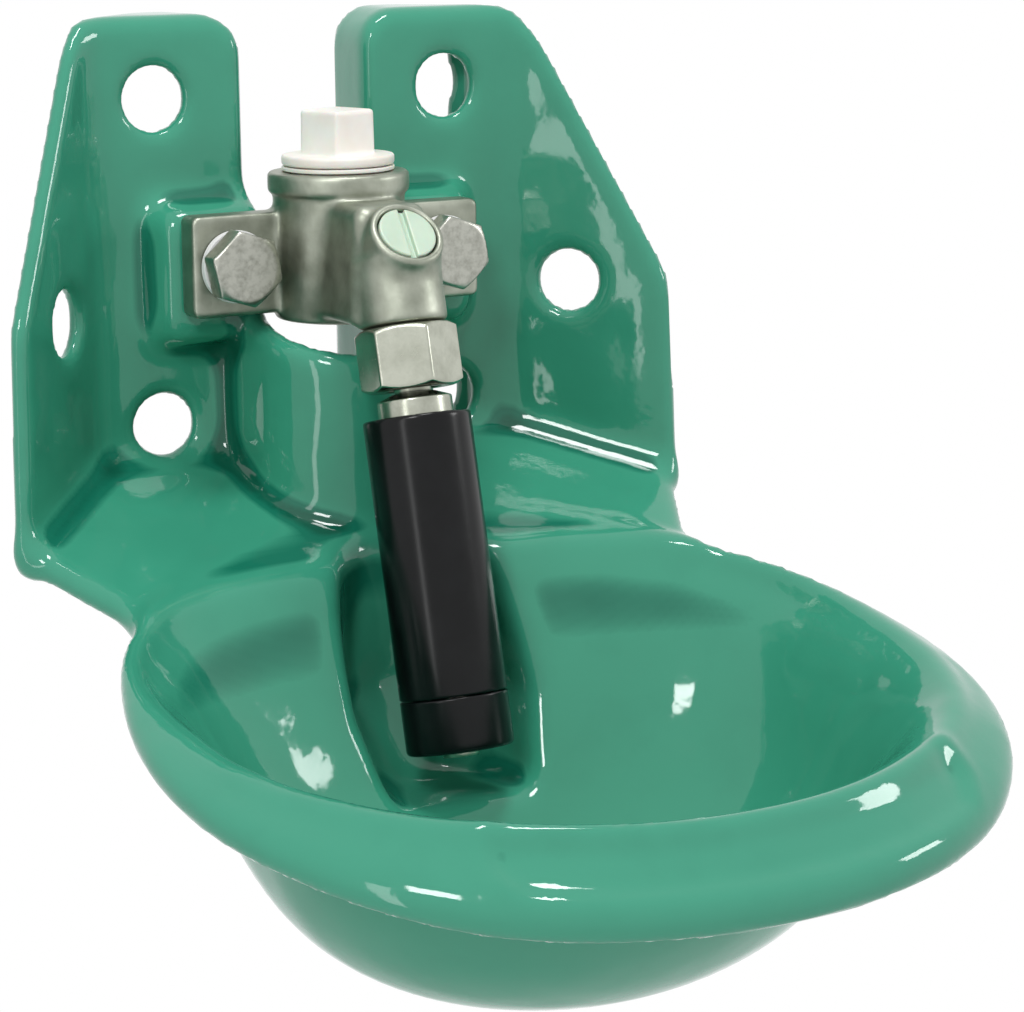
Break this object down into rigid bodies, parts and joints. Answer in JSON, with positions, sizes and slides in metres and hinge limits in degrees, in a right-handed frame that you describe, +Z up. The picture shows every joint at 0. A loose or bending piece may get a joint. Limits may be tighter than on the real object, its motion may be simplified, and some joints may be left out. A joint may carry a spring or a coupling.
{
  "type": "automatic drinking bowl",
  "caption": "Enamelled cast-iron livestock drinking bowl with mounting ears, a cast tube valve, a leaning tilting tube in a black sleeve, and a slotted flow screw.",
  "frame": {"origin": "on the wall plane, midway between the two lower mounting holes", "axes": "X to the right seen from the front, +Y into the wall, +Z up; the bowl reaches out along -Y"},
  "size_m": [0.2026, 0.245, 0.2185],
  "materials": {
    "enamel": "glossy",
    "cast_metal": "satin",
    "steel": "satin",
    "brass": "satin",
    "white_plastic": "matte",
    "mint_plastic": "matte",
    "black_plastic": "satin",
    "rubber": "matte"
  },
  "bodies": {
    "casting": {"bowl_casting": "enamel", "valve_body": "cast_metal", "top_plug": "white_plastic", "plug_gasket": "white_plastic", "strainer": "steel", "valve_seat": "brass", "union_nut": "steel", "nut_seal": "rubber", "ball_seat": "white_plastic", "lug_bolt_left": "steel", "lug_bolt_right": "steel", "lug_washer_left": "steel", "lug_washer_right": "steel", "back_washer_left": "steel", "back_washer_right": "steel", "lug_nut_left": "steel", "lug_nut_right": "steel", "valve_spring": "steel"},
    "swivel": {"swivel_ring": "white_plastic"},
    "tube": {"tilt_tube": "steel", "tube_neck": "steel", "tube_sleeve": "black_plastic", "sleeve_cap": "black_plastic", "tube_circlip": "steel"},
    "stem": {"valve_stem": "brass", "stem_foot": "brass", "valve_disc": "rubber"},
    "screw_ring": {"screw_o_ring": "rubber"},
    "screw": {"flow_screw": "mint_plastic"}
  },
  "joints": [
    {"name": "tube_pitch", "type": "hinge", "parent": "casting", "child": "swivel", "pos_m": [0, -0.0788, 0.0209], "axis": [1, 0, 0], "range_deg": [0, 5], "stiffness_Nm_per_rad": 0.05},
    {"name": "tube_roll", "type": "hinge", "parent": "swivel", "child": "tube", "pos_m": [0, -0.0788, 0.0209], "axis": [0, -0.969, 0.247], "range_deg": [-4, 4], "stiffness_Nm_per_rad": 0.05},
    {"name": "stem_lift", "type": "slide", "parent": "casting", "child": "stem", "axis": [0, 0.247, 0.969], "range_m": [0, 0.0005], "stiffness_N_per_m": 1200, "springref_m": -0.004, "deforming": ["valve_spring"]},
    {"name": "screw_travel", "type": "slide", "parent": "casting", "child": "screw_ring", "axis": [0, -0.7071, 0.7071], "range_m": [-0.0009, 0.0004]},
    {"name": "screw_turn", "type": "hinge", "parent": "screw_ring", "child": "screw", "pos_m": [0, -0.0794, 0.0518], "axis": [0, -0.7071, 0.7071], "range_deg": [-300, 120]}
  ],
  "couplings": [
    {"joint": "stem_lift", "follows": "tube_pitch", "m_per_rad": 0.0046},
    {"joint": "screw_travel", "follows": "screw_turn", "m_per_rad": 0.00015915}
  ]
}
